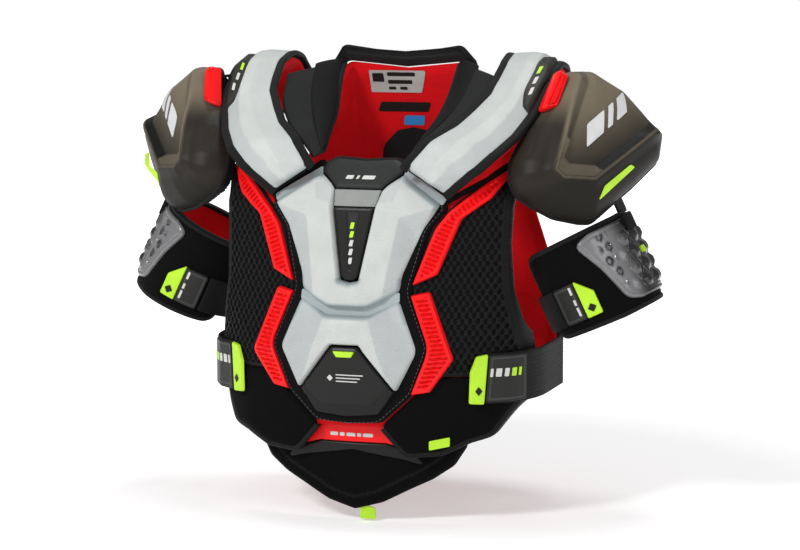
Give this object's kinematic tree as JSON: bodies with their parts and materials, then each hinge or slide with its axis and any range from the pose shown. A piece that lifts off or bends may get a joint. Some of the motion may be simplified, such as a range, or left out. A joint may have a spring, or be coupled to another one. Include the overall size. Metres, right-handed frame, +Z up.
{
  "type": "hockey shoulder pads",
  "caption": "Padded chest and back joined by shoulder arches, with hung shoulder caps, upper-arm guards, elastic side straps and a sliding belly extension.",
  "frame": {"origin": "on the wearer's shoulder line, midway between the shoulder arches", "axes": "+X towards the wearer's left, -Y the way the chest faces, +Z up along the wearer"},
  "size_m": [0.5592, 0.2724, 0.46],
  "materials": {
    "white_plate": "satin moulded foam-backed plate with fine texture",
    "red_liner": "brushed knit over foam",
    "charcoal_label": "soft moulded label",
    "neoprene": "laminated neoprene, matt",
    "black_shell": "matt moulded panel",
    "loop_pile": "brushed loop pile",
    "grey_label": "printed label",
    "black_mesh": "spacer mesh with staggered holes",
    "black_trim": "ribbed binding fabric",
    "grey_fabric": "woven fabric",
    "black_badge": "textured moulded badge",
    "lime_trim": "bright woven trim",
    "red_rib": "ribbed moulded pad",
    "gloss_strip": "glossy welded film",
    "cap_shell": "satin moulded shell",
    "silver_mark": "welded film mark",
    "red_gloss": "glossy moulded block",
    "elastic": "ribbed elastic webbing",
    "arm_shell": "glossy moulded shell with domes"
  },
  "bodies": {
    "back_and_shoulders": {"shoulder_arch_left": "white_plate", "shoulder_arch_right": "white_plate", "arch_liner_left": "red_liner", "arch_liner_right": "red_liner", "arch_label_left": "charcoal_label", "arch_label_right": "charcoal_label", "collar_side_left": "neoprene", "collar_side_right": "neoprene", "back_collar": "neoprene", "back_liner": "red_liner", "back_plate": "black_shell", "spine_guard": "black_shell", "kidney_pad": "loop_pile", "size_label": "grey_label", "back_vent_panel": "black_mesh"},
    "front_panel": {"chest_liner": "red_liner", "chest_core": "black_trim", "mesh_wing_left": "black_mesh", "mesh_wing_right": "black_mesh", "loop_panel_left": "loop_pile", "loop_panel_right": "loop_pile", "sternum_upper": "white_plate", "sternum_lower": "white_plate", "collar_patch": "neoprene", "sternum_window": "grey_fabric", "sternum_badge": "black_badge", "belly_badge": "black_badge", "belly_badge_tab": "lime_trim", "rib_pad_upper_left": "red_rib", "rib_pad_upper_right": "red_rib", "rib_pad_lower_left": "red_rib", "rib_pad_lower_right": "red_rib", "size_tab": "lime_trim"},
    "belly_extension": {"extension_pad": "loop_pile", "extension_red_panel": "red_rib", "extension_edge_strip": "gloss_strip", "extension_pull_tab": "lime_trim"},
    "cap_left": {"cap_shell_left": "cap_shell", "cap_foam_left": "red_liner", "cap_emblem_left": "silver_mark", "cap_stripe_left": "lime_trim", "cap_anchor_left": "red_gloss"},
    "arm_hanger_left": {"arm_hanger_left": "elastic"},
    "arm_guard_left": {"arm_wrap_left": "loop_pile", "arm_shell_left": "arm_shell", "arm_strap_left": "elastic"},
    "arm_tab_left": {"arm_strap_tab_left": "elastic"},
    "side_strap_left": {"side_strap_left": "elastic"},
    "cap_right": {"cap_shell_right": "cap_shell", "cap_foam_right": "red_liner", "cap_emblem_right": "silver_mark", "cap_stripe_right": "lime_trim", "cap_anchor_right": "red_gloss"},
    "arm_hanger_right": {"arm_hanger_right": "elastic"},
    "arm_guard_right": {"arm_wrap_right": "loop_pile", "arm_shell_right": "arm_shell", "arm_strap_right": "elastic"},
    "arm_tab_right": {"arm_strap_tab_right": "elastic"},
    "side_strap_right": {"side_strap_right": "elastic"}
  },
  "joints": [
    {"name": "front_flex", "type": "hinge", "parent": "back_and_shoulders", "child": "front_panel", "pos_m": [0, -0.06, -0.1], "axis": [1, 0, 0], "range_deg": [0, 8]},
    {"name": "extension_slide", "type": "slide", "parent": "front_panel", "child": "belly_extension", "axis": [0, 0, -1], "range_m": [0, 0.03]},
    {"name": "arm_lift_left", "type": "hinge", "parent": "back_and_shoulders", "child": "arm_hanger_left", "pos_m": [0.1706, 0, -0.008], "axis": [0, -1, 0], "range_deg": [0, 40]},
    {"name": "cap_lift_left", "type": "hinge", "parent": "back_and_shoulders", "child": "cap_left", "pos_m": [0.1706, 0, -0.008], "axis": [0, -1, 0], "range_deg": [0, 40]},
    {"name": "arm_twist_left", "type": "hinge", "parent": "arm_hanger_left", "child": "arm_guard_left", "pos_m": [0.2055, 0.017, -0.196], "axis": [-0.4384, 0, 0.8988], "range_deg": [-12, 12]},
    {"name": "arm_tab_open_left", "type": "hinge", "parent": "arm_guard_left", "child": "arm_tab_left", "pos_m": [0.17952, -0.03306, -0.20867], "axis": [0.4384, 0, -0.8988], "range_deg": [0, 60]},
    {"name": "side_strap_open_left", "type": "hinge", "parent": "back_and_shoulders", "child": "side_strap_left", "pos_m": [0.152, 0.096, -0.292], "axis": [0, 0, 1], "range_deg": [0, 70]},
    {"name": "arm_lift_right", "type": "hinge", "parent": "back_and_shoulders", "child": "arm_hanger_right", "pos_m": [-0.1706, 0, -0.008], "axis": [0, 1, 0], "range_deg": [0, 40]},
    {"name": "cap_lift_right", "type": "hinge", "parent": "back_and_shoulders", "child": "cap_right", "pos_m": [-0.1706, 0, -0.008], "axis": [0, 1, 0], "range_deg": [0, 40]},
    {"name": "arm_twist_right", "type": "hinge", "parent": "arm_hanger_right", "child": "arm_guard_right", "pos_m": [-0.2055, 0.017, -0.196], "axis": [-0.4384, 0, -0.8988], "range_deg": [-12, 12]},
    {"name": "arm_tab_open_right", "type": "hinge", "parent": "arm_guard_right", "child": "arm_tab_right", "pos_m": [-0.17952, -0.03306, -0.20867], "axis": [0.4384, 0, 0.8988], "range_deg": [0, 60]},
    {"name": "side_strap_open_right", "type": "hinge", "parent": "back_and_shoulders", "child": "side_strap_right", "pos_m": [-0.152, 0.096, -0.292], "axis": [0, 0, -1], "range_deg": [0, 70]}
  ],
  "couplings": [
    {"joint": "cap_lift_left", "follows": "arm_lift_left", "ratio": 1},
    {"joint": "cap_lift_right", "follows": "arm_lift_right", "ratio": 1}
  ]
}
